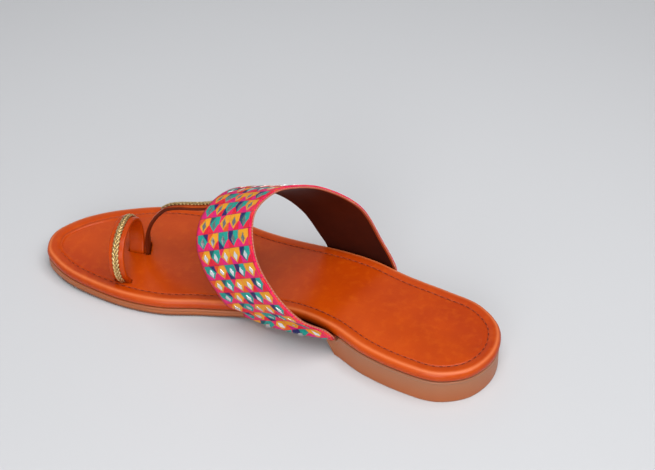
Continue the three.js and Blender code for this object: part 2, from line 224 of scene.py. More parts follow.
def applyModifiers(piece):
    graph = bpy.context.evaluated_depsgraph_get()
    mesh = bpy.data.meshes.new_from_object(piece.evaluated_get(graph))
    piece.modifiers.clear()
    piece.data = mesh


def cutWith(piece, cutters):   # boolean difference, applied
    for cutter in cutters:
        modifier = piece.modifiers.new("cut", "BOOLEAN")
        modifier.operation = "DIFFERENCE"
        modifier.solver = "EXACT"
        modifier.object = cutter
    applyModifiers(piece)
    for cutter in cutters:
        bpy.data.objects.remove(cutter)


def standFor(piece, node):   # the piece takes the CAD node's place in the picture
    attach(piece, "root")
    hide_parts(node)


# Shader helpers
def newMaterial(name, settings):
    material = bpy.data.materials.new(name)
    material.use_nodes = True
    shader = material.node_tree.nodes["Principled BSDF"]
    for key, value in settings.items():
        shader.inputs[key].default_value = value
    return material, material.node_tree, shader


def setInput(tree, socket, value):
    if isinstance(value, bpy.types.NodeSocket):
        tree.links.new(value, socket)
    else:
        socket.default_value = value


def addNode(tree, kind, inputs=None, **settings):
    node = tree.nodes.new(kind)
    for key, value in settings.items():
        setattr(node, key, value)
    for key, value in (inputs or {}).items():
        setInput(tree, node.inputs[key], value)
    return node


def calc(tree, operation, a, b=0.0, c=0.0):
    return addNode(tree, "ShaderNodeMath", {0: a, 1: b, 2: c}, operation=operation).outputs[0]


def blendColour(tree, factor, a, b, mode="MIX"):   # the colour sockets of a mix node are 6, 7 and 2
    node = addNode(tree, "ShaderNodeMix", data_type="RGBA", blend_type=mode)
    for key, value in ((0, factor), (6, a), (7, b)):
        setInput(tree, node.inputs[key], value)
    return node.outputs[2]


def srgb(r, g, b):   # 0 to 255 as seen, to linear
    return tuple(((c / 255 + 0.055) / 1.055) ** 2.4 if c > 10 else c / 255 / 12.92 for c in (r, g, b)) + (1,)


def shaded(colour, share):
    return tuple(c * share for c in colour[:3]) + (1,)


def objectSpot(tree):
    return addNode(tree, "ShaderNodeTexCoord").outputs["Object"]


def attributeOf(tree, key, output="Fac"):
    return addNode(tree, "ShaderNodeAttribute", attribute_name=key).outputs[output]


def noiseOf(tree, vector, scale, detail):
    return addNode(tree, "ShaderNodeTexNoise", {"Vector": vector, "Scale": scale, "Detail": detail}).outputs[0]


def rangeOf(tree, value, low, high, toHigh=1.0, toLow=0.0, **settings):
    inputs = {"Value": value, "From Min": low, "From Max": high, "To Min": toLow, "To Max": toHigh}
    return addNode(tree, "ShaderNodeMapRange", inputs, **settings).outputs[0]


def bumpInto(tree, shader, height, distance, strength, before=None):
    node = addNode(tree, "ShaderNodeBump", {"Height": height, "Distance": distance, "Strength": strength})
    if before is not None:
        tree.links.new(before.outputs[0], node.inputs["Normal"])
    tree.links.new(node.outputs[0], shader.inputs["Normal"])
    return node


# Leather: warm tan, smooth, with a fine grain, soft cloudy colour and a painted highlight on the rim's
# shoulder
leatherLook = {
    "kinds": {   # colour, colour of the clouds, colour of the spots, roughness, coat
        "tanLeather": (srgb(194, 70, 0), srgb(174, 55, 0), srgb(206, 88, 8), 0.36, 0.2),
        "strapLeather": (srgb(196, 78, 10), srgb(150, 50, 4), srgb(196, 78, 10), 0.4, 0.06),
        # painted shade: the dark colour for the toe strap's edges and underside
        "strapEdgeShade": (srgb(108, 38, 12), srgb(78, 26, 10), srgb(108, 38, 12), 0.42, 0.04),
        "bindLeather": (srgb(146, 64, 38), srgb(150, 50, 4), srgb(146, 64, 38), 0.45, 0),
        # the lining's own dark brown, darkened further as painted shade
        "liningLeatherAndShade": (srgb(70, 24, 12), srgb(48, 14, 7), srgb(70, 24, 12), 0.45, 0),
        "edgeLeather": (srgb(180, 88, 66), srgb(176, 98, 74), srgb(214, 150, 124), 0.6, 0),
    },
    "cloudScale": 28, "cloudRange": (0.35, 0.7), "spotScale": 252, "spotRange": (0.5, 0.85),
    "spotAmount": 0.45, "poreScale": 1170, "grainScale": 1560, "grainDepth": 0.00004,
    "coatRoughness": 0.24, "specular": 0.16,
    # painted highlight on the rim's shoulder: its colour, amount, inset from the edge and width
    "shoulderHighlight": srgb(236, 132, 78), "shoulderHighlightAmount": 0.6, "shoulderHighlightInset": 1.7, "shoulderHighlightWidth": 0.8,
    "shoulderHighlightRise": (2.6, 4.2),   # height above the seat where the painted highlight fades in
}


def makeLeather(name, base, deep, light, roughness, coat):
    look = leatherLook
    material, tree, shader = newMaterial(name, {
        "Roughness": roughness, "Coat Weight": coat, "Coat Roughness": look["coatRoughness"],
        "Specular IOR Level": look["specular"]})
    where = objectSpot(tree)
    cloud = noiseOf(tree, where, look["cloudScale"], 4)
    spots = noiseOf(tree, where, look["spotScale"], 3)
    colour = blendColour(tree, rangeOf(tree, cloud, *look["cloudRange"]), base, deep)
    colour = blendColour(tree, rangeOf(tree, spots, *look["spotRange"], look["spotAmount"]), colour, light)
    # painted highlight: the rim's shoulder is lightened in colour to stand in for a highlight
    paintedHighlight = calc(tree, "MULTIPLY", attributeOf(tree, "shoulderHighlight"), look["shoulderHighlightAmount"])
    tree.links.new(blendColour(tree, paintedHighlight, colour, look["shoulderHighlight"]), shader.inputs["Base Color"])
    rough = rangeOf(tree, cloud, 0.3, 0.7, roughness + 0.07, roughness - 0.05)
    tree.links.new(rough, shader.inputs["Roughness"])
    pores = addNode(tree, "ShaderNodeTexVoronoi", {"Vector": where, "Scale": look["poreScale"]})
    first = bumpInto(tree, shader, pores.outputs["Distance"], look["grainDepth"], 0.5)
    bumpInto(tree, shader, noiseOf(tree, where, look["grainScale"], 2), look["grainDepth"], 0.4, first)
    return material


leathers = {name: makeLeather(name, *kind) for name, kind in leatherLook["kinds"].items()}


# Stage: pale floor, soft box overhead, camera
stageLook = {
    "floor": srgb(205, 206, 209), "floorSize": 8, "cloudShade": 0.97,
    "farShade": 0.86, "fade": (0.2, 0.55), "middle": (-0.02, 0.02, 0),
    "world": 0.2, "worldTint": (0.93, 0.96, 1, 1),
    "cameraPlace": (-440.123, -123.786, 470.805), "cameraTarget": (53.035, 117.829, 10),
    "focal": 1300, "frameWidth": 655, "sensor": 36,
    "lamps": [   # name, place, aim, size, power, tint
        ("topBox", (-0.22, -0.42, 1.25), (0, 0, 0), 1.3, 19.4, (1, 0.995, 0.985)),
        ("sideBox", (-1.15, -0.35, 0.55), (0, 0, 0.03), 0.8, 7.5, (1, 1, 1)),
        ("farBox", (0.9, 0.7, 0.95), (0, 0, 0.02), 0.7, 0.8, (1, 1, 1)),
    ],
}


def aimed(thing, place, target):
    thing.location = place
    thing.rotation_mode = "QUATERNION"
    thing.rotation_quaternion = (Vector(target) - Vector(place)).to_track_quat("-Z", "Y")
    return thing


def makeStage():
    look = stageLook
    bpy.ops.mesh.primitive_plane_add(size=look["floorSize"], location=(0, 0, 0))
    floor = bpy.context.active_object
    floor.name = "floor"
    material, tree, shader = newMaterial("paleFloor", {"Roughness": 0.75, "Specular IOR Level": 0.2})
    where = objectSpot(tree)
    away = addNode(tree, "ShaderNodeVectorMath", {0: where, 1: look["middle"]}, operation="DISTANCE")
    # painted shade: the floor's colour darkens away from the shoe, as the light falls off
    fade = rangeOf(tree, away.outputs["Value"], *look["fade"], interpolation_type="SMOOTHSTEP")
    cloud = noiseOf(tree, where, 3, 2)
    near = blendColour(tree, cloud, look["floor"], shaded(look["floor"], look["cloudShade"]))
    colour = blendColour(tree, fade, near, shaded(look["floor"], look["farShade"]))
    tree.links.new(colour, shader.inputs["Base Color"])
    floor.data.materials.append(material)
    world = bpy.data.worlds.new("studio")
    world.use_nodes = True
    sky = world.node_tree.nodes["Background"]
    sky.inputs["Color"].default_value = look["worldTint"]
    sky.inputs["Strength"].default_value = look["world"]
    scene = bpy.context.scene
    scene.world = world
    scene.view_settings.view_transform = "Standard"
    for name, place, target, size, power, tint in look["lamps"]:
        light = bpy.data.lights.new(name, "AREA")
        light.shape = "SQUARE"
        light.size = size
        light.energy = power
        light.color = tint
        aimed(addObject(name, light), place, target)
    lens = bpy.data.cameras.new("camera")
    lens.sensor_width = look["sensor"]
    lens.lens = look["focal"] * look["sensor"] / look["frameWidth"]
    lens.clip_start, lens.clip_end = 0.01, 50
    place, target = placed([look["cameraPlace"], look["cameraTarget"]])
    scene.camera = aimed(addObject("camera", lens), place, target)


makeStage()
print("stage made")


# A body of rings round the outline, closed by a grid under it and a grid over it
def soleMesh(name, stationsY, profile, across, underZ, overZ):
    medial = np.column_stack([rimX(-1, stationsY), stationsY])
    lateral = np.column_stack([rimX(1, stationsY), stationsY])
    ring = np.vstack([heelPole[:2], medial, toePole[:2], lateral[::-1]])
    n, count = len(ring), len(stationsY)
    tangent = unit(np.roll(ring, -1, axis=0) - np.roll(ring, 1, axis=0))
    outward = np.column_stack([-tangent[:, 1], tangent[:, 0]])
    sides = np.array([0] + [-1] * count + [0] + [1] * count)
    points = np.vstack([np.column_stack([ring - outward * inset, heights(ring[:, 1], sides)])
                        for inset, heights in profile])
    faces = tubeFaces(len(profile), n)
    shares = np.arange(1, across) / across
    for base, heightsOf, turn in ((0, underZ, False), ((len(profile) - 1) * n, overZ, True)):
        left = points[base + 1:base + 1 + count]
        right = points[base + count + 2:base + n][::-1]
        inner = left[:, None, :] * (1 - shares[None, :, None]) + right[:, None, :] * shares[None, :, None]
        inner[:, :, 2] = heightsOf(inner, shares)
        start = len(points)
        points = np.vstack([points, inner.reshape(-1, 3)])

        def at(j, k):   # the point at station j and step k across
            if j < 0:
                return base
            if j >= count:
                return base + count + 1
            if k == 0:
                return base + 1 + j
            if k == across:
                return base + n - 1 - j
            return start + j * (across - 1) + k - 1
        for j in range(-1, count):
            for k in range(across):
                corner = []
                for v in (at(j, k), at(j + 1, k), at(j + 1, k + 1), at(j, k + 1)):
                    if v not in corner:
                        corner.append(v)
                faces.append(tuple(corner[::-1]) if turn else tuple(corner))
    return makeMesh(name, points, faces)


def evenStations(step, extra=()):   # places along the shoe, closer together near both ends
    endZone, endSteps = 6, 12
    lo, hi = heelPole[1], toePole[1]
    middle = np.arange(lo + endZone, hi - endZone, step)
    turn = endZone * (1 - np.cos(np.linspace(0, np.pi / 2, endSteps)[1:-1]))
    ys = np.concatenate([lo + turn, middle, (hi - turn)[::-1], np.array(extra, float)])
    return np.unique(np.round(ys, 4))


# Outsole: tan see-through rubber, low heel, slanted breast, arch, serrated fore edge
outsoleLook = {
    "side": srgb(182, 101, 50), "light": srgb(162, 110, 80), "deep": srgb(162, 86, 42),
    "gapShade": srgb(46, 24, 12), "darkShare": 0.6, "shadeReach": (0.3, 0.8), "shadeFall": 0.06,
    "serrationPitch": 1.4, "serrationDepth": 1.15, "serrationStart": 0.5, "serrationEnd": 0.955,
    "serrationRise": 0.04, "serrationFall": 0.03,
    "pocketDepth": 2.8, "pocketWidth": 12.6, "pocketSlack": 0.6,
    "inset": 0.2, "seatDrop": 0.15, "step": 1.4, "across": 24,
    # wall rows: inset, share of half the wall's height, and the step up from below or down from the seat
    "lowerWall": [(0.5, 0, 0), (0.15, 0.1, 0.12), (0, 0.4, 0.5), (-0.05, 0.8, 1.2), (0.1, 1, 3)],
    "upperWall": [(0.25, 0.85, 1.8), (0.35, 0.75, 1.45), (0.1, 0.6, 1.15), (0.1, 0.3, 0.5), (0.25, 0.12, 0.18),
                  (0.6, 0, 0), (3, 0, 0)],
}
bandFoot = {"frontMedial": 0.517, "backMedial": 0.309, "frontLateral": 0.442, "backLateral": 0.275}


def teethZone(y, fall):   # 1 where the underside has teeth
    along, start, end = y / sole["length"], outsoleLook["serrationStart"], outsoleLook["serrationEnd"]
    return smooth(start, start + outsoleLook["serrationRise"], along) * (1 - smooth(end - fall, end, along))


def treadAt(y):   # share of the depth cut between the teeth, and the underside without them
    y0, y1 = sole["breastBottom"] * sole["length"], sole["breastTop"] * sole["length"]
    ramp = np.clip((y - y0) / (y1 - y0), 0, 1) * float(archAt(y1))
    base = np.where(y <= y1, ramp, archAt(y))
    tooth = np.abs((y / outsoleLook["serrationPitch"]) % 1 - 0.5) * 2
    zone = teethZone(y, outsoleLook["serrationFall"])
    return zone * np.clip(tooth * 1.5 - 0.25, 0, 1), base + springAt(y)


def undersideAt(y):
    gap, base = treadAt(y)
    return base + gap * outsoleLook["serrationDepth"]


def pocketAt(y, side):   # recess for the band's end on either side
    length, slack = sole["length"], outsoleLook["pocketSlack"]
    deep = np.zeros_like(y)
    for sign, back, front in ((-1, "backMedial", "frontMedial"), (1, "backLateral", "frontLateral")):
        lo, hi = bandFoot[back] * length - slack, bandFoot[front] * length + slack
        inside = smooth(lo - slack, lo, y) * (1 - smooth(hi, hi + slack, y))
        deep = np.where(side == sign, outsoleLook["pocketDepth"] * inside, deep)
    return deep


def rubberMaterial():
    material, tree, shader = newMaterial("tanRubber", {
        "Roughness": 0.42, "Subsurface Weight": 0.25, "Subsurface Radius": (0.006, 0.003, 0.0015),
        "Subsurface Scale": 0.6})
    where = objectSpot(tree)
    height = addNode(tree, "ShaderNodeSeparateXYZ", {"Vector": where}).outputs[2]
    colour = blendColour(tree, noiseOf(tree, where, 45, 3), outsoleLook["side"], outsoleLook["deep"])
    colour = blendColour(tree, rangeOf(tree, height, 0.002, 0.0125, 0.85), colour, outsoleLook["light"])
    colour = blendColour(tree, attributeOf(tree, "gapShade"), colour, outsoleLook["gapShade"])
    tree.links.new(colour, shader.inputs["Base Color"])
    streak = addNode(tree, "ShaderNodeMapping", {"Vector": where, "Scale": (1, 1, 9)}).outputs[0]
    bumpInto(tree, shader, noiseOf(tree, streak, 300, 3), 0.00012, 0.35)
    return material


def makeOutsole():
    look, length = outsoleLook, sole["length"]
    breast = [sole[key] * length + d for key in ("breastBottom", "breastTop") for d in (-0.4, 0, 0.4)]
    quarter = look["serrationPitch"] / 4   # four stations a tooth
    first, last = (int(look[key] * length / quarter) for key in ("serrationStart", "serrationEnd"))
    teeth = np.arange(first, last) * quarter
    ys = evenStations(look["step"], breast)
    ys = np.unique(np.round(np.concatenate([ys[(ys < teeth[0]) | (ys > teeth[-1])], teeth]), 4))

    def wallHeight(upper, share, step):   # never past half of the wall
        def heights(y, side):
            low, high = undersideAt(y), seatAt(y) - look["seatDrop"] - pocketAt(y, side)
            rise = np.minimum(step, (high - low) / 2 * share)
            return high - rise if upper else low + rise
        return heights
    profile = [(look["inset"] + inset, wallHeight(key == "upperWall", share, step))
               for key in ("lowerWall", "upperWall") for inset, share, step in look[key]]

    def underZ(inner, shares):
        return undersideAt(inner[:, :, 1])

    def overZ(inner, shares):
        x, y = inner[:, :, 0], inner[:, :, 1]
        top = seatAt(y) - look["seatDrop"]
        for side in (-1, 1):
            depth = np.abs(rimX(side, y) - x)
            reach = 1 - smooth(look["pocketWidth"], look["pocketWidth"] + 0.8, depth)
            top = top - pocketAt(y, np.full_like(y, side)) * reach
        return top
    piece = soleMesh("rubberSole", ys, profile, look["across"], underZ, overZ)
    finishMesh(piece)
    spots = pointsOf(piece.data)
    gap, smoothUnder = treadAt(spots[:, 1])
    gap = np.maximum(gap, teethZone(spots[:, 1], look["shadeFall"]) * look["darkShare"])
    reach = [look["serrationDepth"] + part for part in look["shadeReach"]]
    storeShade(piece.data, "gapShade", gap * (1 - smooth(*reach, spots[:, 2] - smoothUnder)))
    piece.data.materials.append(rubberMaterial())
    standFor(piece, "outsole")


makeOutsole()
print("outsole made")


# Straps: the toe loop and the toe strap
strapLook = {"width": 9.5, "loopWidth": 8.3, "wall": 2, "seat": 2.4, "corner": 0.75, "sides": 24, "steps": 160}
loopLook = {
    "width": 33, "height": 26, "acrossPlace": -0.202, "alongPlace": 0.798, "turn": 0.275, "lean": 0.08,
    "rows": [(-0.37, 0), (-0.465, 0.22), (-0.5, 0.48), (-0.435, 0.76), (-0.26, 0.94), (0, 1),
             (0.26, 0.94), (0.435, 0.76), (0.5, 0.48), (0.465, 0.22), (0.37, 0)],
}
# Toe strap: shares across, along and up, then yaw and drop of its width in degrees
toeStrapRows = [
    (0, 0.793, 0.146, 26, 0), (0, 0.7925, 0.234, 24, 2), (0.004, 0.785, 0.321, 20, 6),
    (0.011, 0.772, 0.404, 14, 12), (0.02, 0.752, 0.487, 8, 18), (0.032, 0.734, 0.535, 4, 21),
    (0.044, 0.705, 0.569, 1, 21), (0.048, 0.665, 0.61, 0, 18), (0.05, 0.63, 0.659, 0, 12),
    (0.052, 0.6, 0.727, 0, 7), (0.052, 0.572, 0.79, 0, 5), (0.052, 0.545, 0.848, 0, 6),
]
footbedLook = {
    "thickness": 5.5, "rimWidth": 6.4, "grooveDepth": 0.6, "seatGap": 0.15,
    "step": 1.2, "across": 44, "rimSteps": 45,
    # rim rows: inset and height, then from the groove's middle and in shares of its depth below the top
    "rim": [(2.4, 0.15), (1.1, 0.45), (0.35, 1.1), (0, 2.4), (0.2, 3.8), (0.9, 4.85), (2.2, 5.4)],
    "groove": [(-2.6, 1 / 30), (-0.95, 0.5), (-0.35, 0.8), (0, 1), (0.3, 0.9), (0.8, 0.6), (2, 0.5)],
    "crown": 0.2, "dish": 0.7, "cups": [(0.14, 30, 1), (0.7, 34, 0.7)],   # share of the length, reach, share
    "dipDepth": 0.45, "dipStretch": 1.6, "dipReach": (4.5, 3.5, 3.5), "slotGap": 0.4,
    "stitchPitch": 3.7,
    # piece, material, offset, rise, half sizes, colour, roughness, template steps, bluntness, seed
    "stitches": [
        ("grooveStitches", "grooveThread", 0, 0.16, (0.9, 0.36, 0.3), srgb(176, 62, 10), 0.5, 6, 0.4, 2),
        # the holes are dark marks of painted shade
        ("grooveHoles", "holeShade", 0.5, 0.1, (0.95, 0.42, 0.14), srgb(126, 40, 8), 0.9, 4, 0.5, 4),
    ],
}


def strapFrames(points, widths, steps):
    t = np.linspace(0, 1, steps + 1)
    centre = smoothPath(points, t)
    tangent = unit(np.gradient(centre, axis=0))
    width = smoothPath(widths, t)
    width = unit(width - tangent * np.sum(width * tangent, axis=1)[:, None])
    return centre, tangent, width, unit(np.cross(width, tangent))


def loopFrames(steps):
    turn = loopLook["turn"]
    acrossWay = np.array([math.cos(turn), math.sin(turn), 0])
    facing = np.array([math.sin(turn), -math.cos(turn), 0])
    middle = np.array([
        loopLook["acrossPlace"] * sole["ballWidth"], loopLook["alongPlace"] * sole["length"], 0])
    floorZ = float(seatAt(middle[1])) + footbedLook["thickness"] - footbedLook["grooveDepth"] / 2
    points = []
    for a, share in loopLook["rows"]:
        up = share * loopLook["height"]
        rise = np.array([0, up * loopLook["lean"], floorZ + up])
        points.append(middle + acrossWay * a * loopLook["width"] + rise)
    depth = np.array([0, 0, footbedLook["thickness"] + strapLook["seat"]])
    points = [points[0] - depth] + points + [points[-1] - depth]
    return strapFrames(points, [facing] * len(points), steps), floorZ


def toeStrapFrames(steps):
    size = np.array([sole["ballWidth"], sole["length"], sole["instepHeight"]])
    points, widths = [], []
    for row in toeStrapRows:
        yaw, drop = math.radians(row[3]), math.radians(row[4])
        points.append(np.array(row[:3]) * size)
        flat = math.cos(drop)
        widths.append(np.array([-math.cos(yaw) * flat, -math.sin(yaw) * flat, math.sin(drop)]))
    foot = points[0].copy()
    foot[2] = float(seatAt(foot[1])) - strapLook["seat"]
    return strapFrames([foot] + points, [widths[0]] + widths, steps)


def strapMesh(name, frames, width, wall, corner, grow=0.0):
    centre, _, wide, face = frames
    w, h = width / 2 + grow - corner, wall / 2 + grow - corner
    quarter = strapLook["sides"] // 4
    section = []
    for signX, signY, start in ((1, 1, 0), (-1, 1, 90), (-1, -1, 180), (1, -1, 270)):
        for k in range(quarter):
            a = math.radians(start + 90 * k / (quarter - 1))
            section.append((signX * w + corner * math.cos(a), signY * h + corner * math.sin(a)))
    section = np.array(section)[None]
    rings = centre[:, None] + wide[:, None] * section[:, :, :1] + face[:, None] * section[:, :, 1:]
    piece = ringBody(name, rings)
    finishMesh(piece)
    return piece


# Footbed: rolled rim, stitched groove, soft middle, a slit for each strap
def slotDip(x, y):   # leather pulled down round each slit
    loop, _ = loopFrames(60)
    strap = toeStrapFrames(60)
    dip = np.zeros_like(x)
    for spot, reach in zip((loop[0][2], loop[0][-3], strap[0][1]), footbedLook["dipReach"]):
        away = (x - spot[0]) ** 2 + ((y - spot[1]) / footbedLook["dipStretch"]) ** 2
        dip = dip + footbedLook["dipDepth"] * np.exp(-away / reach ** 2)
    return dip


def shoulderHighlightAt(mesh):   # 1 on the rim's shoulder, where a highlight is painted, 0 elsewhere
    spots = pointsOf(mesh)
    edge = KDTree(len(outline))
    for k, point in enumerate(outline):
        edge.insert((point[0], point[1], 0), k)
    edge.balance()
    inset = np.array([edge.find((x, y, 0))[2] for x, y, _ in spots])
    onTop = smooth(*leatherLook["shoulderHighlightRise"], spots[:, 2] - seatAt(spots[:, 1]))
    return onTop * np.exp(-((inset - leatherLook["shoulderHighlightInset"]) / leatherLook["shoulderHighlightWidth"]) ** 2)


def makeFootbed():
    look = footbedLook
    thick, groove = look["thickness"], look["grooveDepth"]
    rows = look["rim"] + [
        (look["rimWidth"] + inset, thick - groove * share) for inset, share in look["groove"]]
    fine = smoothPath([(a, b, 0) for a, b in rows], np.linspace(0, 1, look["rimSteps"]))

    def seatHeight(rise):
        return lambda y, side: seatAt(y) + rise
    profile = [(float(inset), seatHeight(float(rise))) for inset, rise, _ in fine]

    def underZ(inner, shares):
        return seatAt(inner[:, :, 1]) + look["seatGap"]

    def overZ(inner, shares):
        y = inner[:, :, 1]
        base = seatAt(y) + thick - groove * look["groove"][-1][1]
        crown = np.sin(np.pi * shares)[None, :]
        cups = sum(share * np.exp(-((y - place * sole["length"]) / reach) ** 2)
                   for place, reach, share in look["cups"])
        return base + look["crown"] * crown - look["dish"] * crown ** 3 * cups - slotDip(inner[:, :, 0], y)
    piece = soleMesh("paddedFootbed", evenStations(look["step"]), profile, look["across"], underZ, overZ)
    finishMesh(piece)
    cutters = []
    for name, frames, wide in (("loopSlot", loopFrames(120)[0], strapLook["loopWidth"]),
                               ("strapSlot", toeStrapFrames(120), strapLook["width"])):
        cutters.append(strapMesh(name, frames, wide, strapLook["wall"], strapLook["corner"], look["slotGap"]))
    cutWith(piece, cutters)
    piece.data.materials.clear()
    piece.data.materials.append(leathers["tanLeather"])
    piece.data.polygons.foreach_set("use_smooth", [True] * len(piece.data.polygons))
    storeShade(piece.data, "shoulderHighlight", shoulderHighlightAt(piece.data))
    standFor(piece, "footbed")


makeFootbed()
print("footbed made")


# Repeats: one small template set on carrier points, each with its facing, heading and stretch
def repeatTree():
    tree = bpy.data.node_groups.new("setAlong", "GeometryNodeTree")
    for name, kind in (("Geometry", "Geometry"), ("Template", "Object"), ("Jitter", "Float"), ("Seed", "Int"),
                       ("Material", "Material")):
        tree.interface.new_socket(name=name, in_out="INPUT", socket_type="NodeSocket" + kind)
    tree.interface.new_socket(name="Geometry", in_out="OUTPUT", socket_type="NodeSocketGeometry")
    start = tree.nodes.new("NodeGroupInput").outputs
    end = tree.nodes.new("NodeGroupOutput")

    def named(key):
        node = addNode(tree, "GeometryNodeInputNamedAttribute", {"Name": key}, data_type="FLOAT_VECTOR")
        return node.outputs["Attribute"]
    points = addNode(tree, "GeometryNodeMeshToPoints", {"Mesh": start["Geometry"]})
    up = addNode(tree, "FunctionNodeAlignRotationToVector", {"Vector": named("facing")}, axis="Z")
    along = addNode(tree, "FunctionNodeAlignRotationToVector", {
        "Rotation": up.outputs[0], "Vector": named("heading")}, axis="X", pivot_axis="Z")
    swing = addNode(tree, "FunctionNodeRandomValue", {   # the sockets for a plain number are 2 and 3
        2: calc(tree, "MULTIPLY", start["Jitter"], -1.0), 3: start["Jitter"], "Seed": start["Seed"]},
        data_type="FLOAT")
    spin = addNode(tree, "FunctionNodeAxisAngleToRotation", {
        "Axis": (0.5, 0.5, 0.7), "Angle": swing.outputs[1]})
    turn = addNode(tree, "FunctionNodeRotateRotation", {
        "Rotation": along.outputs[0], "Rotate By": spin.outputs[0]}, rotation_space="LOCAL")
    thing = addNode(tree, "GeometryNodeObjectInfo", {"Object": start["Template"]})
    placedAll = addNode(tree, "GeometryNodeInstanceOnPoints", {
        "Points": points.outputs[0], "Instance": thing.outputs["Geometry"],
        "Rotation": turn.outputs[0], "Scale": named("stretch")})
    real = addNode(tree, "GeometryNodeRealizeInstances", {"Geometry": placedAll.outputs[0]})
    dressed = addNode(tree, "GeometryNodeSetMaterial", {
        "Geometry": real.outputs[0], "Material": start["Material"]})
    tree.links.new(dressed.outputs[0], end.inputs[0])
    return tree


setAlong = repeatTree()


def repeatPiece(name, marks, template, material, node, jitter, seed):
    spots, facing, heading, stretch = (np.array(part, float) for part in zip(*marks))
    piece = makeMesh(name, spots, [], {"facing": facing, "heading": heading, "stretch": stretch * mm})
    for mesh in (piece.data, template.data):
        mesh.materials.append(material)
    modifier = piece.modifiers.new("setAlong", "NODES")
    modifier.node_group = setAlong
    values = {"Template": template, "Jitter": jitter, "Seed": seed, "Material": material}
    for item in setAlong.interface.items_tree:
        if item.item_type == "SOCKET" and item.in_out == "INPUT" and item.name in values:
            modifier[item.identifier] = values[item.name]
    applyModifiers(piece)
    bpy.data.objects.remove(template)
    standFor(piece, node)


def makeTemplate(name, points, faces, flat=False):   # unit-sized, at the origin
    mesh = bpy.data.meshes.new(name)
    mesh.from_pydata([tuple(float(c) for c in p) for p in points], [], faces)
    mesh.polygons.foreach_set("use_smooth", [not flat] * len(mesh.polygons))
    return addObject(name, mesh)


def lensTemplate(name, along, around, blunt, arch=0.0):   # a strand of thread, thickest in its middle
    points = [(-1, 0, -arch)]
    for i in range(1, along):
        x = -math.cos(math.pi * i / along)
        r = max(0, 1 - x * x) ** blunt
        for k in range(around):
            a = 2 * math.pi * k / around
            points.append((x, r * math.cos(a), r * math.sin(a) - arch * x * x))
    points.append((1, 0, -arch))
    faces = tubeFaces(along - 1, around, start=1)
    last = len(points) - 1
    for k in range(around):
        faces.append((0, 1 + (k + 1) % around, 1 + k))
        faces.append((last, last - around + k, last - around + (k + 1) % around))
    return makeTemplate(name, points, [tuple(f[::-1]) for f in faces])


def threadMaterial(name, colour, roughness=0.5):
    material, tree, shader = newMaterial(name, {"Roughness": roughness})
    tone = noiseOf(tree, objectSpot(tree), 1200, 2)
    tree.links.new(blendColour(tree, tone, colour, shaded(colour, 0.72)), shader.inputs["Base Color"])
    return material


def makeGrooveStitches():   # dashes of thread in the groove, with a dark mark of painted shade in the stitch hole between each two
    tangent = unit(np.roll(outline, -1, axis=0) - np.roll(outline, 1, axis=0))
    outward = np.column_stack([-tangent[:, 1], tangent[:, 0], np.zeros(len(outline))])
    route = outline - outward * footbedLook["rimWidth"]
    route[:, 2] = seatAt(route[:, 1]) + footbedLook["thickness"] - footbedLook["grooveDepth"]
    loop = np.vstack([route, route[:1]])
    lengths = lengthsAlong(loop)
    count = int(round(lengths[-1] / footbedLook["stitchPitch"]))
    for name, tone, offset, rise, size, colour, roughness, along, blunt, seed in footbedLook["stitches"]:
        marks = []
        for k in range(count):
            at = (k + offset) * lengths[-1] / count
            point, ahead = (pointAt(loop, lengths, x % lengths[-1]) for x in (at, at + 0.5))
            marks.append((point + np.array([0, 0, rise]), (0, 0, 1), unit(ahead - point), size))
        repeatPiece(name, marks, lensTemplate(name + "Shape", along, 8, blunt),
                    threadMaterial(tone, colour, roughness), "footbed", 0.05, seed)


# Instep band: the route of its outer face, from the front edge (share 0) to the back edge (share 1)
bandLook = {
    "wall": 2.2, "outerFace": 1, "innerFace": 1.75, "edgeBulge": 0.3, "tab": 12, "footBow": 7, "rowPitch": 8.5,
    "columnEdges": [0, 0.03, 0.215, 0.4, 0.585, 0.77, 0.955, 1],
    "edgeInset": 0.003, "clothDepth": 1.05, "clothTop": 0.12, "pillow": 0.16, "cellSplits": 6,
    "foilAcross": 0.215, "foilAlong": 0.31, "foilLift": 0.02, "foil": srgb(240, 243, 244),
    "hemStart": 2 / 19, "hemEnd": 17 / 19, "hemPitch": 1.6, "hemOut": 0.12, "hemDown": 1.12,
    "rows": [   # frontX, frontY, frontZ, backX, backY, backZ
        (-0.309, 0.541, 0.176, -0.302, 0.321, 0.227), (-0.343, 0.566, 0.34, -0.401, 0.36, 0.356),
        (-0.346, 0.588, 0.497, -0.42, 0.416, 0.547), (-0.302, 0.606, 0.673, -0.383, 0.461, 0.776),
        (-0.173, 0.61, 0.791, -0.235, 0.486, 0.967), (0.025, 0.595, 0.834, -0.012, 0.479, 0.992),
        (0.222, 0.562, 0.771, 0.198, 0.451, 0.918), (0.364, 0.527, 0.647, 0.37, 0.418, 0.797),
        (0.469, 0.493, 0.471, 0.491, 0.362, 0.621), (0.509, 0.463, 0.294, 0.512, 0.317, 0.379),
    ],
    "rowZeroFront": (-24.6, 152.8, 55), "rowZeroBack": (-25.2, 121.4, 72.4),
    # thread colours by letter
    "threads": {
        "O": srgb(255, 170, 14), "R": srgb(255, 88, 20), "T": srgb(0, 166, 152), "D": srgb(0, 88, 104),
        "N": srgb(26, 26, 104), "M": srgb(240, 0, 130), "P": srgb(255, 24, 100), "C": srgb(248, 8, 50),
    },
    # each cell: left and right of the foil, upper left and right, lower left and right; margins first and last
    "chart": [
        ["PPPRCM", "OOROPC", "TTDTCP", "OOPOMR", "OOOOMC", "DTNTMC", "PCPRCP"],
        ["CPPRMP", "TTTNMP", "OOROMC", "TTTTNP", "NTNTCP", "OOOOMP", "RPCPRP"],
    ],
    "cornerUp": 0.95, "cornerDown": 0.82, "threadShade": 0.07, "foilShade": 0.14,
    "seam": srgb(170, 0, 84), "columnSeam": srgb(255, 20, 84), "seamWidth": 0.02, "seamAmount": 0.7,
    "edgeThread": srgb(216, 146, 126), "routeSteps": 1201, "shareSteps": 41,
}


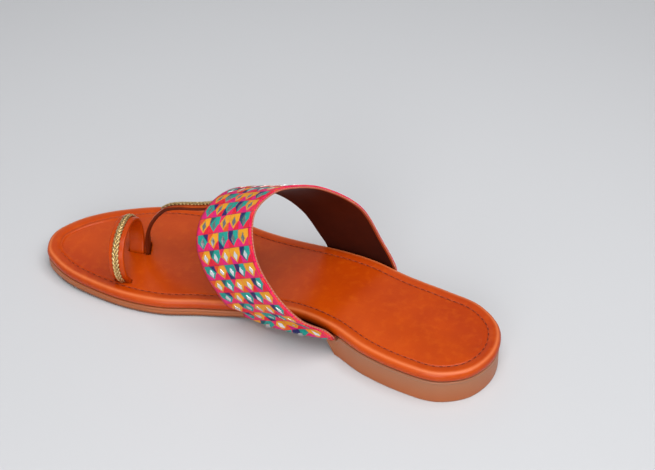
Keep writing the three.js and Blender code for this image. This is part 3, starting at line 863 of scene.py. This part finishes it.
def bandLine(share):
    size = np.array([sole["ballWidth"], sole["length"], sole["instepHeight"]])
    arch = [mix(np.array(row[:3]), np.array(row[3:]), share) * size for row in bandLook["rows"]]
    wall, tab = bandLook["wall"], bandLook["tab"]

    def foot(side, front, back, bow):
        y = mix(bandFoot[front], bandFoot[back], share) * sole["length"]
        x, seat = float(rimX(side, y)), float(seatAt(y))
        under, out = seat - sole["gap"] - wall, sole["gap"] + wall
        low = float(smooth(0.75, 1, share)) if side < 0 else 0   # the back corner tapers off along the rim
        return [   # from the tab's end under the footbed, round the rim's edge, to beside the footbed
            (x - side * tab, y, under), (x - side * tab * 0.5, y, under),
            (x - side * (1.6 - bow * 0.6), y, under), (x + side * (out * 0.7 + bow), y, under + wall * 0.45),
            (x + side * (out + 0.4 + bow), y, seat + footbedLook["thickness"] * (0.42 - 0.28 * low)),
        ]
    medial = foot(-1, "frontMedial", "backMedial", bandLook["footBow"] * math.sin(math.pi * share))
    lateral = foot(1, "frontLateral", "backLateral", 0)[::-1]
    return np.array(medial + arch + lateral)


bandT = np.linspace(0, 1, bandLook["routeSteps"])


def edgeLengths(share, mark):   # length along an edge, zero at the point nearest the mark
    curve = smoothPath(bandLine(share), bandT)
    lengths = lengthsAlong(curve)
    return lengths - lengths[int(np.argmin(np.linalg.norm(curve - np.array(mark), axis=1)))]


frontU = edgeLengths(0, bandLook["rowZeroFront"])
backU = edgeLengths(1, bandLook["rowZeroBack"])
fineShares = np.linspace(0, 1, bandLook["shareSteps"])
fineCurves = np.stack([smoothPath(bandLine(share), bandT) for share in fineShares])
fineAlong = unit(np.gradient(fineCurves, axis=1))
fineNormal = unit(np.cross(unit(np.gradient(fineCurves, axis=0)), fineAlong))


def bandFrames(shares, at):   # the outer face's points, normals and directions at shares across, params along
    shares, at = np.broadcast_arrays(np.asarray(shares, float), np.asarray(at, float))
    i = np.clip((shares * (len(fineShares) - 1)).astype(int), 0, len(fineShares) - 2)
    j = np.clip((at * (len(bandT) - 1)).astype(int), 0, len(bandT) - 2)
    u = (shares * (len(fineShares) - 1) - i)[..., None]
    v = (at * (len(bandT) - 1) - j)[..., None]

    def pick(field):
        near = mix(field[i, j], field[i, j + 1], v)
        return mix(near, mix(field[i + 1, j], field[i + 1, j + 1], v), u)
    along, normal = unit(pick(fineAlong)), unit(pick(fineNormal))
    return pick(fineCurves), normal, along, np.cross(along, normal)


def paramAt(shares, lengths):   # param along the arch where the weave's length is reached
    out = np.empty(np.shape(shares))
    for k, (share, length) in enumerate(zip(np.ravel(shares), np.ravel(lengths))):
        out.flat[k] = np.interp(length, mix(frontU, backU, share), bandT)
    return out


def lengthAt(share, at):
    return float(np.interp(at, bandT, mix(frontU, backU, share)))


def makeBandLeather():
    columns = 33
    grid, normal, _, across = bandFrames(np.linspace(0, 1, columns)[None, :], np.linspace(0, 1, 300)[:, None])
    outerFace, innerFace = bandLook["outerFace"], bandLook["innerFace"]
    outer = grid - normal * outerFace
    inner = (grid - normal * innerFace)[:, ::-1]
    arcs = []
    for edge, sign in ((-1, 1), (0, -1)):
        side = []
        for k in range(1, 6):
            a = math.pi * k / 6
            depth = mix(outerFace, innerFace, (1 - math.cos(a)) / 2)
            bulge = bandLook["edgeBulge"] * math.sin(a)
            side.append(grid[:, edge] - normal[:, edge] * depth + across[:, edge] * sign * bulge)
        arcs.append(np.stack(side if sign > 0 else side[::-1], axis=1))
    rings = np.concatenate([outer, arcs[0], inner, arcs[1]], axis=1)
    piece = ringBody("bandLeather", rings)
    finishMesh(piece)
    for key in ("edgeLeather", "liningLeatherAndShade", "bindLeather"):
        piece.data.materials.append(leathers[key])
    n, which = rings.shape[1], []
    for face in piece.data.polygons:
        spots = [v % n for v in face.vertices]
        inside = len(spots) == 4 and all(columns + 5 <= k <= 2 * columns + 4 for k in spots)
        which.append(2 if inside and max(spots) <= columns + 6 else 1 if inside else 0)
    piece.data.polygons.foreach_set("material_index", which)
    standFor(piece, "upper")


def embroideryMaterial():
    look = bandLook
    material, tree, shader = newMaterial("embroidery", {
        "Roughness": 0.5, "Sheen Weight": 0.05, "Specular IOR Level": 0.22})
    cell = addNode(tree, "ShaderNodeUVMap", uv_map="weave").outputs[0]
    parts = addNode(tree, "ShaderNodeSeparateXYZ", {"Vector": cell})
    where = objectSpot(tree)
    wobble = calc(tree, "MULTIPLY_ADD", noiseOf(tree, where, 900, 2), 0.06, -0.03)
    a, b = calc(tree, "ADD", parts.outputs[0], wobble), parts.outputs[1]
    isRight = calc(tree, "GREATER_THAN", a, 0.5)
    isUp = calc(tree, "GREATER_THAN", calc(tree, "ADD", b, wobble), 0.5)
    fromMiddle, fromLevel = (calc(tree, "ABSOLUTE", calc(tree, "SUBTRACT", part, 0.5)) for part in (a, b))

    def sideThreads(left, right):
        return blendColour(tree, isRight, *(attributeOf(tree, key, "Color") for key in (left, right)))
    # the main colours keep to a rhombus round the foil, the corner colours lie outside it
    reach = calc(tree, "MULTIPLY", calc(tree, "ADD", fromMiddle, fromLevel), 2.0)
    bound = calc(tree, "MULTIPLY_ADD", isUp, look["cornerUp"] - look["cornerDown"], look["cornerDown"])
    corners = blendColour(tree, isUp, sideThreads("lowLeft", "lowRight"), sideThreads("upLeft", "upRight"))
    colour = blendColour(tree, calc(tree, "GREATER_THAN", reach, bound), sideThreads("left", "right"), corners)
    # satin threads slant away from the middle of each cell
    slant = calc(tree, "MULTIPLY_ADD", fromMiddle, 16.0, calc(tree, "MULTIPLY", fromLevel, 8.0))
    threads = calc(tree, "ABSOLUTE", calc(tree, "SINE", calc(tree, "MULTIPLY", slant, 6.28)))
    shade = calc(tree, "MULTIPLY_ADD", threads, -look["threadShade"], look["threadShade"])
    colour = blendColour(tree, shade, colour, (0.02, 0, 0.02, 1))
    fleck = rangeOf(tree, noiseOf(tree, where, 1500, 3), 0.4, 0.8, 0.3)
    colour = blendColour(tree, fleck, colour, (1, 0.9, 0.8, 1), "SOFT_LIGHT")
    # seams between rows and columns
    rowEdge, columnEdge = (calc(tree, "LESS_THAN", calc(tree, "SUBTRACT", 0.5, part), look["seamWidth"])
                           for part in (fromLevel, fromMiddle))
    colour = blendColour(tree, columnEdge, colour, look["columnSeam"])
    colour = blendColour(tree, calc(tree, "MULTIPLY", rowEdge, look["seamAmount"]), colour, look["seam"])
    # a fine painted shadow round each foil
    rim = calc(tree, "ADD", calc(tree, "DIVIDE", fromMiddle, look["foilAcross"]),
               calc(tree, "DIVIDE", fromLevel, look["foilAlong"]))
    foilShadowMask = calc(tree, "MULTIPLY", calc(tree, "LESS_THAN", rim, 1.12), look["foilShade"])
    tree.links.new(blendColour(tree, foilShadowMask, colour, (0.03, 0.01, 0.03, 1)), shader.inputs["Base Color"])
    dent = calc(tree, "MULTIPLY", calc(tree, "ADD", rowEdge, columnEdge), 0.7)
    bumpInto(tree, shader, calc(tree, "SUBTRACT", threads, dent), 0.00015, 0.8)
    return material


# Rows of the chart that lie on the band, from under one rim to under the other
bandFirstRow = int(math.floor(min(lengthAt(t, bandLook["hemStart"]) for t in (0, 1)) / bandLook["rowPitch"]))
bandLastRow = int(math.ceil(max(lengthAt(t, bandLook["hemEnd"]) for t in (0, 1)) / bandLook["rowPitch"]))


def insetShare(share):   # pulled in from both edges
    return mix(bandLook["edgeInset"], 1 - bandLook["edgeInset"], share)


def makeEmbroidery():
    splits, pitch, edges = bandLook["cellSplits"], bandLook["rowPitch"], bandLook["columnEdges"]
    shares, cellOf = [], []
    for c in range(len(edges) - 1):
        parts = 1 if c == 0 else 2 if c == len(edges) - 2 else splits
        for k in range(parts):
            shares.append(mix(edges[c], edges[c + 1], k / parts))
            cellOf.append((c, k / parts, (k + 1) / parts))
    shares = np.array(shares + [1])
    lengths = np.arange(bandFirstRow * splits, bandLastRow * splits + 1) * pitch / splits
    rows, columns = len(lengths), len(shares)
    across, along = np.meshgrid(insetShare(shares), lengths)
    at = np.clip(paramAt(across, along), bandLook["hemStart"], bandLook["hemEnd"])
    trueLength = np.array([[lengthAt(across[i, j], at[i, j]) for j in range(columns)] for i in range(rows)])
    grid, normal, _, _ = bandFrames(across, at)
    localA = np.array([0.0] + [c[1] for c in cellOf[1:]] + [0.0])
    localB = (np.arange(rows) % splits) / splits
    puff = np.outer(np.sin(np.pi * localB) ** 0.5, np.sin(np.pi * localA) ** 0.5)   # each cell slightly puffed
    top = grid + normal * (bandLook["pillow"] * puff - bandLook["clothTop"])[:, :, None]
    base = grid - normal * bandLook["clothDepth"]
    piece = ringBody("embroideredCloth", np.concatenate([top, base[:, ::-1]], axis=1))
    n, mesh = 2 * columns, piece.data
    layer = mesh.uv_layers.new(name="weave")
    keys = ("left", "right", "upLeft", "upRight", "lowLeft", "lowRight")
    colours = {key: np.zeros((len(mesh.loops), 4)) for key in keys}
    uvs = np.zeros((len(mesh.loops), 2))
    for face in mesh.polygons:
        spots = [v % n if v % n < columns else n - 1 - v % n for v in face.vertices]
        row = min(v // n for v in face.vertices)
        cell, a0, a1 = cellOf[min(min(spots), columns - 2)]
        chartRow = bandFirstRow + row // splits
        letters = bandLook["chart"][chartRow % 2][cell]
        for loop, spot in zip(face.loop_indices, spots):
            height = trueLength[mesh.loops[loop].vertex_index // n, spot] / pitch - chartRow
            uvs[loop] = (a0 if spot == min(spots) else a1, min(1, max(0, height)))
            for key, letter in zip(keys, letters):
                colours[key][loop] = bandLook["threads"][letter]
    layer.data.foreach_set("uv", uvs.ravel())
    for key in keys:
        mesh.color_attributes.new(key, "FLOAT_COLOR", "CORNER").data.foreach_set("color", colours[key].ravel())
    finishMesh(piece, 2e-6)
    mesh.materials.append(embroideryMaterial())
    standFor(piece, "upper")


def makeFoils():
    pitch, edges = bandLook["rowPitch"], bandLook["columnEdges"]
    marks = []
    for row in range(bandFirstRow, bandLastRow):
        for c in range(1, len(edges) - 2):
            share = insetShare((edges[c] + edges[c + 1]) / 2)
            length = (row + 0.5) * pitch
            at = float(np.interp(length, mix(frontU, backU, share), bandT))
            if not bandLook["hemStart"] + 0.03 < at < bandLook["hemEnd"] - 0.03:
                continue
            point, normal, along, _ = bandFrames(share, at)
            sides = (insetShare(edges[c]), insetShare(edges[c + 1]))
            left, right = (bandFrames(side, paramAt(side, length))[0] for side in sides)
            legs = (along * pitch * bandLook["foilAlong"], np.ravel(right - left) * bandLook["foilAcross"])
            turned, sizes, _ = np.linalg.svd(np.stack(legs, axis=1), full_matrices=False)
            heading = turned[:, 0] * (1 if turned[:, 0] @ along > 0 else -1)
            marks.append((point + normal * bandLook["foilLift"], normal, heading, (sizes[0], sizes[1], 1)))
    ring = [(1, 0), (0, 1), (-1, 0), (0, -1)]
    points = [(x, y, -0.25) for x, y in ring] + [(x * 0.96, y * 0.94, 0.02) for x, y in ring] + [(0, 0, 0.08)]
    faces = [(k, (k + 1) % 4, 4 + (k + 1) % 4, 4 + k) for k in range(4)]
    faces += [(4 + k, 4 + (k + 1) % 4, 8) for k in range(4)]
    foil, tree, shader = newMaterial("mirrorFoil", {
        "Roughness": 0.16, "Metallic": 1.0, "Base Color": bandLook["foil"]})
    bumpInto(tree, shader, noiseOf(tree, objectSpot(tree), 500, 2), 0.00012, 0.5)
    plate = makeTemplate("foilPlate", points, faces, flat=True)
    repeatPiece("foilDiamonds", marks, plate, foil, "upper", 0.08, 11)


def makeHemStitches():   # short light stitches along both edges of the band
    marks = []
    for share, sign in ((0, 1), (1, -1)):
        lengths = lengthsAlong(fineCurves[-share])
        start, end = (np.interp(bandLook[key], bandT, lengths) for key in ("hemStart", "hemEnd"))
        for length in np.arange(start + 4, end - 4, bandLook["hemPitch"]):
            point, normal, along, across = bandFrames(share, float(np.interp(length, lengths, bandT)))
            spot = point - across * sign * bandLook["hemOut"] - normal * bandLook["hemDown"]
            marks.append((spot, -across * sign, along, (bandLook["hemPitch"] * 0.36, 0.24, 0.2)))
    repeatPiece("bandHemStitches", marks, lensTemplate("hemStitch", 6, 6, 0.4),
                threadMaterial("hemThread", bandLook["edgeThread"]), "upper", 0.12, 5)


makeBandLeather()
makeEmbroidery()
makeFoils()
makeHemStitches()
print("band made")


# Gilt braid: slanted strands in two rows, laid as a plait
braidLook = {
    "width": 3.6, "pitch": 2.3, "slant": 30, "strand": (1.95, 0.6, 0.5), "endGap": 1.2,
    # deep is painted shade, seen in the gaps between the strands
    "gold": srgb(192, 156, 92), "deep": srgb(72, 48, 20), "light": srgb(236, 210, 156),
    "baseWall": 0.36, "baseCorner": 0.15, "loopStart": 0.6, "strapStart": 0.43, "strapEnd": 0.86,
}


def goldMaterial(name, colour, roughness):
    material, tree, shader = newMaterial(name, {"Roughness": roughness, "Metallic": 0.75})
    where = objectSpot(tree)
    tone = rangeOf(tree, noiseOf(tree, where, 1100, 3), 0.4, 0.7)
    tree.links.new(blendColour(tree, tone, colour, braidLook["light"]), shader.inputs["Base Color"])
    bumpInto(tree, shader, noiseOf(tree, where, 3500, 2), 0.00008, 0.6)
    return material


def braidPieces(name, frames, keep, node):
    look = braidLook
    centre, tangent, wide, face = (part[keep] for part in frames)
    lift = strapLook["wall"] / 2 + sole["gap"]
    base = (centre + face * (lift + look["baseWall"] / 2), tangent, wide, face)
    # the dark strip under the strands is painted shade for the gaps between them
    strip = strapMesh(name + "Base", base, look["width"] - 0.5, look["baseWall"], look["baseCorner"])
    strip.data.materials.append(goldMaterial(name + "GapShade", look["deep"], 0.5))
    standFor(strip, node)
    lengths = lengthsAlong(centre)
    slant, step, endGap = math.radians(look["slant"]), look["pitch"] / 2, look["endGap"]
    marks = []
    for k in range(int((lengths[-1] - 2 * endGap) / step)):
        side = 1 if k % 2 else -1
        c, t, w, f = (pointAt(part, lengths, endGap + k * step) for part in (centre, tangent, wide, face))
        t, w, f = unit(t), unit(w), unit(f)
        spot = c + w * side * look["width"] / 2 * 0.46 + f * (lift + 0.5)
        heading = t * math.cos(slant) + w * side * math.sin(slant)
        marks.append((spot, unit(f + w * side * 0.25), heading, look["strand"]))
    repeatPiece(name + "Plait", marks, lensTemplate(name + "Strand", 8, 8, 0.42, 0.5),
                goldMaterial(name + "Gold", look["gold"], 0.3), node, 0.06, 3)


def makeStraps():
    wall, corner, steps = (strapLook[key] for key in ("wall", "corner", "steps"))
    loop, floorZ = loopFrames(steps)
    body = strapMesh("toeLoopLeather", loop, strapLook["loopWidth"], wall, corner)
    body.data.materials.append(leathers["tanLeather"])
    standFor(body, "toe_loop")
    braidPieces("toeLoopBraid", loop, loop[0][:, 2] > floorZ + braidLook["loopStart"], "toe_loop_braid")
    strap = toeStrapFrames(steps)
    body = strapMesh("toeStrapLeather", strap, strapLook["width"], wall, corner)
    body.data.materials.append(leathers["strapLeather"])
    body.data.materials.append(leathers["strapEdgeShade"])
    n = strapLook["sides"]
    upper = range(2, n // 2 - 2)   # outer face; the edges and the underside get a dark colour as painted shade
    which = [0 if all(v % n in upper for v in face.vertices) else 1 for face in body.data.polygons]
    body.data.polygons.foreach_set("material_index", which)
    standFor(body, "upper")
    shares = np.linspace(0, 1, steps + 1)
    keep = (shares >= braidLook["strapStart"]) & (shares <= braidLook["strapEnd"])
    braidPieces("toeStrapBraid", strap, keep, "toe_strap_braid")


makeStraps()
makeGrooveStitches()
print("straps and stitches made")
